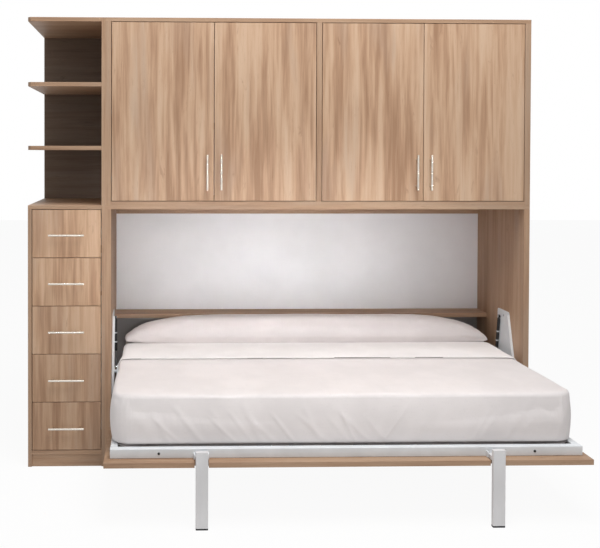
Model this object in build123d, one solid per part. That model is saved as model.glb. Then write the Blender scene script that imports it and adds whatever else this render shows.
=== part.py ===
from build123d import *
import math
import os

os.makedirs("parts", exist_ok=True)

# Wall bed that tilts down sideways, under a row of cupboards, with an end unit of drawers and open shelves.
# Millimetres. While it is built, x = 0 is the middle of the bed cabinet, y = 0 is the plane of the cabinet
# fronts with y growing towards the wall, and z = 0 is the floor. The bed is drawn lowered.

# Boards and gaps
board = 19.0
side_board = 28.0
back_board = 16.0
divider_board = 25.0
shelf_board = 20.0
end_board = 18.0
door_gap = 3.0
edge_break = 0.8

# Overall sizes
cabinet_width = 2060.0
cabinet_depth = 600.0
bed_cabinet_height = 1260.0
overhead_height = 900.0
overhead_shelf_drop = 60.0
end_unit_width = 370.0

# Bed cabinet
back_setback = 40.0
tie_rail_height = 62.0
wall_screw_hole = 7.0
wall_screw_offset = 800.0
headboard_shelf_top = 650.0
headboard_shelf_board = 22.0
headboard_shelf_depth = 130.0
floor_tie_height = 58.0
floor_tie_board = 16.0

# Tilting bed
pivot_y = 170.0
pivot_height = 415.0
panel_board = 22.0
panel_front_reach = 820.0
panel_rear_reach = 338.0
panel_side_gap = 4.0
rail_height = 40.0
rail_width = 30.0
frame_front_setback = 45.0
frame_rear_setback = 23.0
frame_side_gap = 28.0
rail_hole_diameter = 10.0
rail_hole_depth = 3.0
rail_hole_offset = 775.0
cross_rail_count = 2

# Slats
slat_count = 14
slat_width = 55.0
slat_thickness = 8.0
slat_bow = 7.0
slat_end_gap = 1.0
slat_seat_drop = 20.0

# Bedding
mattress_width = 1914.0
mattress_depth = 1043.0
mattress_top = 518.0
mattress_crown = 6.0
mattress_corner = 60.0
mattress_side_draw = 14.0
mattress_foot_gap = 4.0
mattress_sink = 7.0
fit_gap = 0.4
sheet_fold_width = 280.0
sheet_fold_thickness = 4.0
sheet_fold_front = 16.0
pillow_length = 1880.0
pillow_depth = 156.0
pillow_height = 148.0
pillow_y = 350.0
pillow_flat = 6.0
pillow_end_share = 0.42

# Legs
leg_offset = 602.0
leg_width = 50.0
leg_depth = 20.0
leg_wall = 2.0
leg_pivot_front = 9.5
leg_pivot_height = 276.0
leg_top_height = 313.0
leg_arm_height = 17.0
leg_stand_off = 3.0
leg_notch_gap = 4.0
leg_notch_depth = 56.0
foot_pad_height = 7.0
ear_thickness = 4.0
ear_reach = 20.0
ear_height = 26.0
pin_gap = 0.4
leg_pin_diameter = 8.0

# Lift mechanism
arm_plate = 5.0
arm_gap = 1.5
axle_diameter = 16.0
bracket_plate = 3.0
bracket_flange = 12.0
bracket_top_height = 708.0
bracket_foot_height = 330.0
bracket_top_front = 155.0
bracket_top_rear = 285.0
bracket_foot_front = 48.0
bracket_foot_rear = 310.0
strut_top_y = 250.0
strut_top_height = 670.0
strut_arm = 120.0
strut_arm_drop = 10.0
strut_cylinder_diameter = 14.0
strut_rod_diameter = 6.0
strut_cylinder_length = 168.0
strut_eye_diameter = 16.0
strut_eye_thickness = 9.0
strut_pin_diameter = 8.0
stud_head = 2.0

# Doors
door_count = 4
door_board = 19.0
hinge_height_inset = 110.0
cup_diameter = 35.0
cup_depth = 11.0
cup_edge = 21.5
cup_knuckle_length = 30.0
cup_knuckle_width = 22.0
cup_knuckle_depth = 12.0
plate_length = 60.0
plate_height = 46.0
plate_thickness = 10.0
hinge_arm_reach = 30.0
hinge_arm_width = 16.0
shelf_door_gap = 40.0

# Handles
handle_length = 170.0
handle_diameter = 10.0
handle_centres = 128.0
handle_post_diameter = 8.0
handle_reach = 32.0
door_handle_edge = 32.0
door_handle_bottom = 52.0
drawer_handle_drop = 6.0

# Drawers
drawer_count = 5
plinth_height = 60.0
plinth_setback = 6.0
drawer_gap = 3.0
drawer_box_height = 150.0
drawer_box_length = 500.0
drawer_box_board = 12.0
drawer_bottom_board = 6.0
drawer_bottom_lift = 10.0
runner_space = 12.7
runner_height = 45.0
runner_wall = 1.6
slide_height = 34.0
slide_gap = 0.4

# End shelves
shelf_tops = (1850.0, 1545.0)
shelf_corner = 14.0

# Worked out
cabinet_left = -cabinet_width / 2
cabinet_right = cabinet_width / 2
inner_left = cabinet_left + side_board
inner_right = cabinet_right - side_board
back_front = cabinet_depth - back_setback
total_height = bed_cabinet_height + overhead_height
end_left = cabinet_left - end_unit_width
end_inner_right = cabinet_left - end_board
end_inner_left = end_left + end_board
panel_bottom = pivot_height - pivot_y
panel_top = panel_bottom + panel_board
panel_front = pivot_y - panel_front_reach
panel_rear = pivot_y + panel_rear_reach
panel_half = cabinet_width / 2 - side_board - panel_side_gap
frame_half = cabinet_width / 2 - side_board - frame_side_gap
frame_front = panel_front + frame_front_setback
frame_rear = panel_rear - frame_rear_setback
frame_top = panel_top + rail_height
leg_pivot_y = frame_front - leg_pivot_front
leg_inner = leg_pivot_y - (leg_pivot_height - panel_bottom) - leg_stand_off
leg_front = leg_inner - leg_depth
origin = Vector((end_left + cabinet_right) / 2, (leg_front + cabinet_depth) / 2, 0)


def box(x0, x1, y0, y1, z0, z1):
    """A plain block between two corners."""
    size = Box(x1 - x0, y1 - y0, z1 - z0)
    return Pos((x0 + x1) / 2, (y0 + y1) / 2, (z0 + z1) / 2) * size


def plank(x0, x1, y0, y1, z0, z1):
    """A board with its sharp edges broken."""
    block = box(x0, x1, y0, y1, z0, z1)
    return chamfer(block.edges(), edge_break)


def rod(diameter, start, end):
    """A round bar between two points."""
    axis = Vector(end) - Vector(start)
    plane = Plane(origin=Vector(start), z_dir=axis)
    return extrude(plane * Circle(diameter / 2), axis.length)


def mirrored(piece):
    """The same piece on the other side of the bed."""
    return mirror(piece, Plane.YZ)


def save(name, *solids):
    """Write one node, moved so that the origin is under the middle of the whole object."""
    placed = [Pos(-origin.X, -origin.Y, -origin.Z) * solid for solid in solids]
    export_step(placed[0] if len(placed) == 1 else Compound(children=placed), f"parts/{name}.step")


# Bed cabinet
def cabinet_boards():
    """The fixed boards round the bed."""
    rear = cabinet_depth
    height = bed_cabinet_height
    save("cabinet_side_left", plank(cabinet_left, inner_left, 0, rear, 0, height - board))
    save("cabinet_side_right", plank(inner_right, cabinet_right, 0, rear, 0, height - board))
    save("cabinet_top", plank(cabinet_left, cabinet_right, 0, rear, height - board, height))
    tie_bottom = height - board - tie_rail_height
    tie_rail = plank(inner_left, inner_right, back_front - board, back_front, tie_bottom, height - board)
    panel_joint = headboard_shelf_top - headboard_shelf_board / 2
    back_rear = back_front + back_board
    niche_back = box(inner_left, inner_right, back_front, back_rear, panel_joint, height - board)
    for x in (-wall_screw_offset, wall_screw_offset):
        z = tie_bottom + tie_rail_height / 2
        hole = rod(wall_screw_hole, (x, back_front - board - 1, z), (x, back_rear + 1, z))
        tie_rail -= hole
        niche_back -= hole
    save("rear_tie_rail", tie_rail)
    save("niche_back_panel", niche_back)
    save("lower_back_panel", box(inner_left, inner_right, back_front, back_rear, 0, panel_joint))
    shelf_front = back_front - headboard_shelf_depth
    shelf_bottom = headboard_shelf_top - headboard_shelf_board
    save("headboard_shelf", plank(inner_left, inner_right, shelf_front, back_front, shelf_bottom, headboard_shelf_top))
    save("floor_tie", plank(inner_left, inner_right, 0, floor_tie_board, 0, floor_tie_height))


# Overhead cupboards
def overhead_boards():
    """Carcass of the cupboards, with one divider and one shelf in each half."""
    bottom = bed_cabinet_height
    top = total_height
    back = cabinet_depth - back_board
    divider = divider_board / 2
    inside_bottom = bottom + board
    inside_top = top - board
    left = plank(cabinet_left, cabinet_left + side_board, 0, cabinet_depth, bottom, inside_top)
    middle = plank(-divider, divider, 0, back, inside_bottom, inside_top)
    save("overhead_uprights", left, middle, mirrored(left))
    save("overhead_top", plank(cabinet_left, cabinet_right, 0, cabinet_depth, inside_top, top))
    save("overhead_bottom", plank(inner_left, inner_right, 0, back, bottom, inside_bottom))
    save("overhead_back", box(inner_left, inner_right, back, cabinet_depth, bottom, inside_top))
    shelf_z = (inside_bottom + inside_top) / 2 - overhead_shelf_drop
    shelf_y = door_board + shelf_door_gap
    shelf = plank(divider, inner_right, shelf_y, back, shelf_z - board / 2, shelf_z + board / 2)
    save("overhead_shelves", mirrored(shelf), shelf)


def door_edges():
    """Left and right edge of each door, and whether it hangs on its left."""
    divider = divider_board / 2
    half = (inner_right - divider - 3 * door_gap) / 2
    starts = (inner_left + door_gap, -divider - door_gap - half, divider + door_gap, inner_right - door_gap - half)
    return [(start, start + half, number % 2 == 0) for number, start in enumerate(starts)]


def handle(centre, along, out):
    """A bar handle on two posts; along is the bar's direction and out points away from the front."""
    middle = Vector(centre) + Vector(out) * (handle_reach - handle_diameter / 2)
    half = Vector(along) * (handle_length / 2)
    bar = rod(handle_diameter, (middle - half), (middle + half))
    bar = chamfer(bar.edges(), edge_break)
    for side in (-1, 1):
        foot = Vector(centre) + Vector(along) * (side * handle_centres / 2)
        head = foot + Vector(out) * (handle_reach - handle_diameter / 2)
        bar += rod(handle_post_diameter, foot, head)
    return bar


def doors():
    """Four inset doors, with their bar handles and hinge cups, and the hinge plates on the carcass."""
    bottom = bed_cabinet_height + board + door_gap
    top = total_height - board - door_gap
    hinge_heights = (bottom + hinge_height_inset, (bottom + top) / 2, top - hinge_height_inset)
    plates = []
    for number, (left, right, hung_left) in enumerate(door_edges(), start=1):
        hinge_x = left if hung_left else right
        inward = 1 if hung_left else -1
        free_x = right if hung_left else left
        panel = plank(left, right, 0, door_board, bottom, top)
        cup_x = hinge_x + inward * cup_edge
        cups = []
        for z in hinge_heights:
            cup_floor = door_board - cup_depth
            panel -= rod(cup_diameter + 2 * pin_gap, (cup_x, cup_floor, z), (cup_x, door_board + 1, z))
            cup = rod(cup_diameter, (cup_x, cup_floor, z), (cup_x, door_board + 1, z))
            knuckle_y = door_board + cup_knuckle_depth
            half_z = cup_knuckle_width / 2
            half_x = cup_knuckle_length / 2
            cup += box(cup_x - half_x, cup_x + half_x, door_board, knuckle_y, z - half_z, z + half_z)
            cups.append(cup)
            wall_x = hinge_x - inward * door_gap
            plate_x = sorted((wall_x, wall_x + inward * plate_thickness))
            plate_y = knuckle_y + fit_gap
            half_plate = plate_height / 2
            plate = box(*plate_x, plate_y + plate_length / 4, plate_y + plate_length, z - half_plate, z + half_plate)
            plate = chamfer(plate.edges().filter_by(Axis.X), plate_thickness / 3)
            arm_x = sorted((wall_x, wall_x + inward * hinge_arm_reach))
            half_arm = hinge_arm_width / 2
            plate += box(*arm_x, plate_y, plate_y + plate_length / 2, z - half_arm, z + half_arm)
            plates.append(plate)
        grip_x = free_x - inward * door_handle_edge
        grip_z = bottom + door_handle_bottom + handle_length / 2
        grip = handle((grip_x, 0, grip_z), (0, 0, 1), (0, -1, 0))
        save(f"door_{number}", panel)
        save(f"door_{number}_fittings", grip, *cups)
    save("hinge_plates", *plates)


# End unit
def end_shelf(top, front=0.0):
    """A board of the open shelves, clipped at its free front corner."""
    back = cabinet_depth - back_board
    plate = plank(end_left, end_inner_right, front, back, top - shelf_board, top)
    corner = Pos(end_left, front, top - shelf_board / 2) * Rot(0, 0, 45)
    return plate - corner * Box(shelf_corner * math.sqrt(2), shelf_corner * math.sqrt(2), shelf_board * 2)


def end_unit_boards():
    """Drawer carcass below, open shelves above."""
    back = cabinet_depth - back_board
    carcass_top = bed_cabinet_height - board
    save("end_unit_side", plank(end_inner_right, cabinet_left, 0, cabinet_depth, 0, total_height))
    save("drawer_unit_side", plank(end_left, end_inner_left, 0, back, 0, carcass_top))
    save("drawer_unit_top", plank(end_left, end_inner_right, 0, back, carcass_top, bed_cabinet_height))
    save("drawer_unit_bottom", plank(end_inner_left, end_inner_right, 0, back, plinth_height, plinth_height + board))
    plinth_rear = plinth_setback + board
    save("drawer_unit_plinth", plank(end_inner_left, end_inner_right, plinth_setback, plinth_rear, 0, plinth_height))
    save("end_unit_back", plank(end_left, end_inner_right, back, cabinet_depth, 0, total_height))
    save("end_shelves", end_shelf(total_height), *[end_shelf(top) for top in shelf_tops])


def drawers():
    """Five drawers on two-part runners."""
    inside_bottom = plinth_height + board
    pitch = (bed_cabinet_height - board - inside_bottom - drawer_gap) / drawer_count
    front_left = end_inner_left + drawer_gap
    front_right = end_inner_right - drawer_gap
    box_left = end_inner_left + runner_space
    box_right = end_inner_right - runner_space
    box_front = board
    box_rear = box_front + drawer_box_length
    wall = drawer_box_board
    runners = []
    for number in range(1, drawer_count + 1):
        top = bed_cabinet_height - board - drawer_gap - (number - 1) * pitch
        bottom = top - pitch + drawer_gap
        middle = (top + bottom) / 2
        front = plank(front_left, front_right, 0, board, bottom, top)
        low = middle - drawer_box_height / 2
        high = middle + drawer_box_height / 2
        floor_z = low + drawer_bottom_lift
        floor_top = floor_z + drawer_bottom_board
        pieces = [
            box(box_left, box_left + wall, box_front, box_rear, low, high),
            box(box_right - wall, box_right, box_front, box_rear, low, high),
            box(box_left + wall, box_right - wall, box_front, box_front + wall, floor_top, high),
            box(box_left + wall, box_right - wall, box_rear - wall, box_rear, floor_top, high),
            box(box_left + wall, box_right - wall, box_front, box_rear, floor_z, floor_top),
        ]
        grip_x = (front_left + front_right) / 2
        grip = handle((grip_x, 0, middle - drawer_handle_drop), (1, 0, 0), (0, -1, 0))
        slides = []
        for wall_x, box_x in ((end_inner_left, box_left), (end_inner_right, box_right)):
            inward = 1 if box_x > wall_x else -1
            outer_x = sorted((wall_x, box_x - inward * slide_gap))
            channel = box(*outer_x, box_front + 1, box_rear, middle - runner_height / 2, middle + runner_height / 2)
            hollow_x = sorted((wall_x + inward * runner_wall, box_x))
            hollow_z = runner_height / 2 - runner_wall
            channel -= box(*hollow_x, box_front, box_rear + 1, middle - hollow_z, middle + hollow_z)
            runners.append(channel)
            slide_x = sorted((box_x, wall_x + inward * (runner_wall + slide_gap)))
            half_slide = slide_height / 2
            slides.append(box(*slide_x, box_front + 1, box_rear - 1, middle - half_slide, middle + half_slide))
        save(f"drawer_{number}_front", front)
        save(f"drawer_{number}_box", *pieces)
        save(f"drawer_{number}_fittings", grip, *slides)
    save("drawer_runners", *runners)


# Tilting bed
def face_panel():
    """The panel that closes the cabinet, notched at its front edge for the two legs."""
    panel = plank(-panel_half, panel_half, panel_front, panel_rear, panel_bottom, panel_top)
    notch_half = leg_width / 2 + leg_notch_gap
    for side in (-1, 1):
        x = side * leg_offset
        notch_rear = panel_front + leg_notch_depth
        panel -= box(x - notch_half, x + notch_half, panel_front - 1, notch_rear, panel_bottom - 1, panel_top + 1)
    save("face_panel", panel)


def leg_ears():
    """Two pairs of ears with their pins, welded to the front rail."""
    pieces = []
    inner = leg_width / 2 + leg_notch_gap / 2
    outer = inner + ear_thickness
    for x in (-leg_offset, leg_offset):
        for side in (-1, 1):
            span = sorted((x + side * inner, x + side * outer))
            front = frame_front - ear_reach
            ear = box(*span, front, frame_front, panel_top + edge_break, panel_top + ear_height)
            pieces.append(fillet(ear.edges().filter_by(Axis.X).group_by(Axis.Y)[0], ear_reach / 4))
        start = (x - outer, leg_pivot_y, leg_pivot_height)
        end = (x + outer, leg_pivot_y, leg_pivot_height)
        pin = rod(leg_pin_diameter, start, end)
        pieces = [piece - pin for piece in pieces]
        pieces.append(pin)
    return pieces


def bed_frame():
    """Rectangular steel frame on the panel, with cross rails and the leg ears."""
    low = panel_top
    high = frame_top
    front = box(-frame_half, frame_half, frame_front, frame_front + rail_width, low, high)
    front = fillet(front.edges().filter_by(Axis.X), rail_height / 12)
    for side in (-1, 1):
        x = side * rail_hole_offset
        z = (low + high) / 2
        front -= rod(rail_hole_diameter, (x, frame_front - 1, z), (x, frame_front + rail_hole_depth, z))
    rear = box(-frame_half, frame_half, frame_rear - rail_width, frame_rear, low, high)
    rear = fillet(rear.edges().filter_by(Axis.X), rail_height / 12)
    inner_front = frame_front + rail_width
    inner_rear = frame_rear - rail_width
    end = box(frame_half - rail_width, frame_half, inner_front, inner_rear, low, high)
    end = fillet(end.edges().filter_by(Axis.Y), rail_height / 12)
    pieces = [front, rear, end, mirrored(end)]
    clear_width = 2 * (frame_half - rail_width)
    cross_height = rail_height - slat_seat_drop
    for number in range(1, cross_rail_count + 1):
        x = -clear_width / 2 + clear_width * number / (cross_rail_count + 1)
        pieces.append(box(x - rail_width / 2, x + rail_width / 2, inner_front, inner_rear, low, low + cross_height))
    save("bed_frame", *pieces, *leg_ears())


def slats():
    """Bowed slats across the bed, each with a holder at either end."""
    inner_front = frame_front + rail_width + fit_gap
    inner_rear = frame_rear - rail_width - fit_gap
    middle = (inner_front + inner_rear) / 2
    seat = frame_top - slat_seat_drop
    clear_width = 2 * (frame_half - rail_width)
    pitch = clear_width / slat_count
    pieces = []
    for number in range(slat_count):
        x = -clear_width / 2 + pitch * (number + 0.5)
        plane = Plane(origin=(x - slat_width / 2, 0, 0), x_dir=(0, 1, 0), z_dir=(1, 0, 0))
        lower = ThreePointArc((inner_front, seat), (middle, seat + slat_bow), (inner_rear, seat))
        raised = seat + slat_thickness
        upper = ThreePointArc((inner_rear, raised), (middle, raised + slat_bow), (inner_front, raised))
        rear_end = Line((inner_rear, seat), (inner_rear, raised))
        front_end = Line((inner_front, raised), (inner_front, seat))
        pieces.append(extrude(plane * make_face([lower, rear_end, upper, front_end]), slat_width))
    save("slats", *pieces)


def rounded_section(half_x, y0, y1, z, corner):
    """A rounded rectangle lying at one height."""
    outline = RectangleRounded(2 * half_x, y1 - y0, corner)
    return Pos(0, (y0 + y1) / 2, z) * outline


def mattress():
    """A mattress in its fitted sheet: drawn in at the foot and head of its sides, with a shallow crown."""
    half = mattress_width / 2
    front = frame_front + rail_width
    rear = front + mattress_depth
    foot = frame_top + mattress_foot_gap
    shoulder = mattress_top - mattress_crown
    height = shoulder - foot
    levels = (
        (foot, mattress_side_draw),
        (foot + height * 0.16, 2.0),
        (foot + height * 0.5, 0.0),
        (foot + height * 0.86, 2.0),
        (shoulder, mattress_side_draw),
    )
    sections = [
        rounded_section(half - draw, front + draw, rear - draw, z, mattress_corner - draw)
        for z, draw in levels
    ]
    body = loft(sections)
    crown_inset = mattress_corner * 1.5
    draw = mattress_side_draw
    rim = rounded_section(half - draw, front + draw, rear - draw, shoulder, mattress_corner - draw)
    inner = rounded_section(half - crown_inset, front + crown_inset, rear - crown_inset, mattress_top, mattress_corner)
    body += loft([rim, inner])
    well_half = frame_half - rail_width - mattress_foot_gap
    well_front = frame_front + rail_width + mattress_foot_gap
    well_rear = frame_rear - rail_width - mattress_foot_gap
    well_bottom = frame_top - slat_seat_drop + slat_thickness + slat_bow + fit_gap
    well = rounded_section(well_half, well_front, well_rear, well_bottom, mattress_corner / 2)
    body += extrude(well, foot - well_bottom)
    save("mattress", body)


def sheet_fold():
    """The turned-down band of the upper sheet, lying on the mattress."""
    half = mattress_width / 2 - mattress_side_draw
    low = mattress_top + fit_gap
    front = sheet_fold_front
    band = box(-half, half, front, front + sheet_fold_width, low, low + sheet_fold_thickness)
    band = fillet(band.edges().filter_by(Axis.X), sheet_fold_thickness / 2.2)
    save("sheet_fold", band)


def pillow():
    """One long pillow, flat where it rests and drawn in at both ends."""
    rest = mattress_top + fit_gap
    centre_z = rest + pillow_height / 2 - pillow_flat
    half_length = pillow_length / 2
    right_half = ((0.6, 1.0), (0.93, 0.8), (1.0, pillow_end_share))
    left_half = tuple((-share, swell) for share, swell in reversed(right_half))
    stations = (*left_half, (0.0, 0.97), *right_half)
    sections = []
    for share, swell in stations:
        height = pillow_height * swell
        z = centre_z - (pillow_height - height) * 0.35
        plane = Plane(origin=(share * half_length, pillow_y, z), x_dir=(0, 1, 0), z_dir=(1, 0, 0))
        sections.append(plane * Ellipse(pillow_depth / 2 * (0.5 + swell / 2), height / 2))
    form = loft(sections)
    reach = pillow_depth
    under = box(-half_length - 1, half_length + 1, pillow_y - reach, pillow_y + reach, rest - reach, rest)
    save("pillow", form - under)


# Legs
def leg(name, x):
    """A folding leg: an upright tube, the arm that carries its pivot, and its foot pad."""
    half = leg_width / 2
    tube = box(x - half, x + half, leg_front, leg_inner, foot_pad_height, leg_top_height)
    tube = fillet(tube.edges().filter_by(Axis.Z), leg_wall * 1.5)
    inner_z = leg_top_height - leg_wall
    tube -= box(x - half + leg_wall, x + half - leg_wall, leg_front + leg_wall, leg_inner - leg_wall, 0, inner_z)
    arm_rear = leg_pivot_y + leg_arm_height / 2
    arm_low = leg_pivot_height - leg_arm_height / 2
    arm = box(x - half, x + half, leg_inner, arm_rear, arm_low, arm_low + leg_arm_height)
    arm = fillet(arm.edges().filter_by(Axis.X).group_by(Axis.Y)[-1], leg_arm_height / 2.1)
    bore_start = (x - half - 1, leg_pivot_y, leg_pivot_height)
    bore_end = (x + half + 1, leg_pivot_y, leg_pivot_height)
    arm -= rod(leg_pin_diameter + 2 * pin_gap, bore_start, bore_end)
    plug_inset = leg_wall + pin_gap / 4
    pad = box(x - half, x + half, leg_front, leg_inner, 0, foot_pad_height)
    pad = fillet(pad.edges().filter_by(Axis.Z), leg_wall * 1.5)
    plug_x = half - plug_inset
    plug_y = (leg_front + plug_inset, leg_inner - plug_inset)
    pad += box(x - plug_x, x + plug_x, *plug_y, foot_pad_height, foot_pad_height * 4)
    save(name, tube + arm, pad)


# Lift mechanism
def lift_bracket():
    """Folded steel plate on the right side board, with the axle hole and the upper pin of the strut."""
    inner = inner_right - bracket_plate
    outline = Polyline(
        (bracket_foot_front, bracket_foot_height),
        (bracket_top_front, bracket_top_height),
        (bracket_top_rear, bracket_top_height),
        (bracket_foot_rear, bracket_foot_height),
        close=True,
    )
    plane = Plane(origin=(inner, 0, 0), x_dir=(0, 1, 0), z_dir=(1, 0, 0))
    plate = extrude(plane * make_face(outline), bracket_plate)
    plate = fillet(plate.edges().filter_by(Axis.X), bracket_flange)
    slope = math.atan2(bracket_top_front - bracket_foot_front, bracket_top_height - bracket_foot_height)
    length = math.hypot(bracket_top_front - bracket_foot_front, bracket_top_height - bracket_foot_height)
    trim = bracket_flange * 1.2
    flange = box(-bracket_flange, 0, 0, bracket_plate, trim, length - trim)
    flange = Pos(inner + bracket_plate, bracket_foot_front, bracket_foot_height) * Rot(-math.degrees(slope), 0, 0) * flange
    plate += flange
    axle_hole = axle_diameter + 2 * pin_gap
    plate -= rod(axle_hole, (inner - 1, pivot_y, pivot_height), (inner_right + 1, pivot_y, pivot_height))
    pin_inner = strut_x() - strut_eye_thickness / 2 - 1
    pin = rod(strut_pin_diameter, (pin_inner, strut_top_y, strut_top_height), (inner, strut_top_y, strut_top_height))
    return plate + pin


def strut_x():
    """The plane that both ends of a gas strut lie in."""
    arm_outer = frame_half + arm_gap + arm_plate + stud_head
    return (arm_outer + inner_right - bracket_plate) / 2


def bed_arm():
    """Plate that carries the right end of the bed frame up to its axle."""
    x0 = frame_half
    x1 = x0 + arm_gap + arm_plate
    low = panel_top + edge_break
    spread = rail_height * 3
    stud_y = pivot_y + strut_arm
    stud_z = pivot_height - strut_arm_drop
    outline = Polyline(
        (pivot_y - spread, low),
        (pivot_y - spread, frame_top),
        (pivot_y - axle_diameter * 1.6, pivot_height + axle_diameter),
        (pivot_y + axle_diameter, pivot_height + axle_diameter * 1.6),
        (stud_y + axle_diameter, stud_z + axle_diameter),
        (stud_y + axle_diameter, stud_z - axle_diameter),
        (pivot_y + spread, frame_top),
        (pivot_y + spread, low),
        close=True,
    )
    plane = Plane(origin=(x0, 0, 0), x_dir=(0, 1, 0), z_dir=(1, 0, 0))
    plate = extrude(plane * make_face(outline), x1 - x0)
    plate = fillet(plate.edges().filter_by(Axis.X), axle_diameter / 4)
    axle_end = inner_right - pin_gap
    plate += rod(axle_diameter, (x1 - 1, pivot_y, pivot_height), (axle_end, pivot_y, pivot_height))
    plate += rod(axle_diameter * 0.75, (x1 - 1, stud_y, stud_z), (x1 + stud_head - fit_gap, stud_y, stud_z))
    return plate


def strut():
    """Cylinder and rod of the right gas strut, drawn as they lie with the bed lowered."""
    x = strut_x()
    top = Vector(x, strut_top_y, strut_top_height)
    bottom = Vector(x, pivot_y + strut_arm, pivot_height - strut_arm_drop)
    run = (bottom - top).normalized()
    half_eye = strut_eye_thickness / 2

    def eye(centre, bore):
        start = (x - half_eye, centre.Y, centre.Z)
        end = (x + half_eye, centre.Y, centre.Z)
        return rod(strut_eye_diameter, start, end) - rod(bore, start, end)

    neck = top + run * (strut_eye_diameter / 2 - 1)
    shell_start = top + run * (strut_eye_diameter / 2 + 3)
    shell_end = shell_start + run * strut_cylinder_length
    cylinder = rod(strut_cylinder_diameter, shell_start, shell_end)
    cylinder = chamfer(cylinder.edges(), strut_cylinder_diameter / 10)
    bore = strut_rod_diameter + 2 * pin_gap
    cylinder -= rod(bore, (shell_start + run * 12), (shell_end + run))
    cylinder += rod(strut_rod_diameter, neck, (shell_start + run))
    cylinder += eye(top, strut_pin_diameter + 2 * pin_gap)
    rod_start = shell_start + run * 16
    rod_end = bottom - run * (strut_eye_diameter / 2 - 1)
    piston = rod(strut_rod_diameter, rod_start, rod_end)
    piston += eye(bottom, strut_pin_diameter + 2 * pin_gap)
    return cylinder, piston


def lift_mechanism():
    """Brackets, arms and gas struts at both ends of the bed."""
    bracket = lift_bracket()
    save("lift_bracket_right", bracket)
    save("lift_bracket_left", mirrored(bracket))
    arm = bed_arm()
    save("bed_arms", arm, mirrored(arm))
    cylinder, piston = strut()
    save("strut_right_cylinder", cylinder)
    save("strut_right_rod", piston)
    save("strut_left_cylinder", mirrored(cylinder))
    save("strut_left_rod", mirrored(piston))


cabinet_boards()
overhead_boards()
doors()
end_unit_boards()
drawers()
face_panel()
bed_frame()
slats()
mattress()
sheet_fold()
pillow()
leg("leg_left", -leg_offset)
leg("leg_right", leg_offset)
lift_mechanism()
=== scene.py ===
import logging
import math
from dataclasses import dataclass
from enum import Enum

import bmesh
import bpy
from mathutils import Euler, Matrix, Vector, noise
from mathutils.bvhtree import BVHTree


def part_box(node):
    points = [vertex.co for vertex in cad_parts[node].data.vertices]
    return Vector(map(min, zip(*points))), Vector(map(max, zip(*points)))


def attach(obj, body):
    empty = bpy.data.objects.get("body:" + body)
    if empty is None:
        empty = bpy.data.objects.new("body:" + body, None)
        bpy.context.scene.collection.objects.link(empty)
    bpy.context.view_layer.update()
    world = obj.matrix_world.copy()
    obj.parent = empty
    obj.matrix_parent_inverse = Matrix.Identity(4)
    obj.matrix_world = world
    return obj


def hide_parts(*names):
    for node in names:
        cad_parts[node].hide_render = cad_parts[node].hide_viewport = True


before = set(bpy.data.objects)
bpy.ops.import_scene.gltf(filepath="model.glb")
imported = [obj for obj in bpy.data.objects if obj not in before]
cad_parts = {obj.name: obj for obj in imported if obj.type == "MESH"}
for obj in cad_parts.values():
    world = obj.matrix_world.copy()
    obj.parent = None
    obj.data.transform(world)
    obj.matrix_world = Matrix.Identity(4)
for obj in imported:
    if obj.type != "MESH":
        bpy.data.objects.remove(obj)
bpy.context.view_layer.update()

log = logging.getLogger("wall_bed")
Colour = tuple[float, float, float]
WHITE = (1.0, 1.0, 1.0, 1.0)


class Grain(Enum):
    """The direction that a board's grain runs in."""

    X = 0
    Y = 1
    Z = 2


def srgb(red: int, green: int, blue: int) -> Colour:
    """Turn a colour as seen on a screen into the values that a shader takes.

    Args:
        red: Red, from 0 to 255.
        green: Green, from 0 to 255.
        blue: Blue, from 0 to 255.

    Returns:
        The same colour in linear values from 0 to 1.
    """
    shares = (channel / 255 for channel in (red, green, blue))
    return tuple(s / 12.92 if s <= 0.04045 else ((s + 0.055) / 1.055) ** 2.4 for s in shares)


def dimmed(colour: Colour, share: float) -> Colour:
    """A colour at a share of its brightness."""
    return tuple(channel * share for channel in colour)


class Value:
    """One output of a material's nodes, which adds Math nodes when it is used in a sum."""

    def __init__(self, recipe: "Recipe", socket: bpy.types.NodeSocket) -> None:
        """Keep the recipe and the socket."""
        self.recipe = recipe
        self.socket = socket

    def _math(self, operation: str, first: "Value | float", second: "Value | float") -> "Value":
        """Add one Math node.

        Args:
            operation: The node's operation.
            first: Its first input.
            second: Its second input.

        Returns:
            The node's output.
        """
        return self.recipe.output("ShaderNodeMath", {"operation": operation}, {0: first, 1: second})

    def __add__(self, other: "Value | float") -> "Value":
        """Sum."""
        return self._math("ADD", self, other)

    __radd__ = __add__

    def __sub__(self, other: "Value | float") -> "Value":
        """Difference."""
        return self._math("SUBTRACT", self, other)

    def __rsub__(self, other: "Value | float") -> "Value":
        """Difference, from a number."""
        return self._math("SUBTRACT", other, self)

    def __mul__(self, other: "Value | float") -> "Value":
        """Product."""
        return self._math("MULTIPLY", self, other)

    __rmul__ = __mul__

    def above(self, low: float, high: float) -> "Value":
        """A soft step: 0 below the first number and 1 above the second."""
        settings = {"interpolation_type": "SMOOTHSTEP"}
        inputs = {"Value": self, "From Min": low, "From Max": high}
        return self.recipe.output("ShaderNodeMapRange", settings, inputs)


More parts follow.
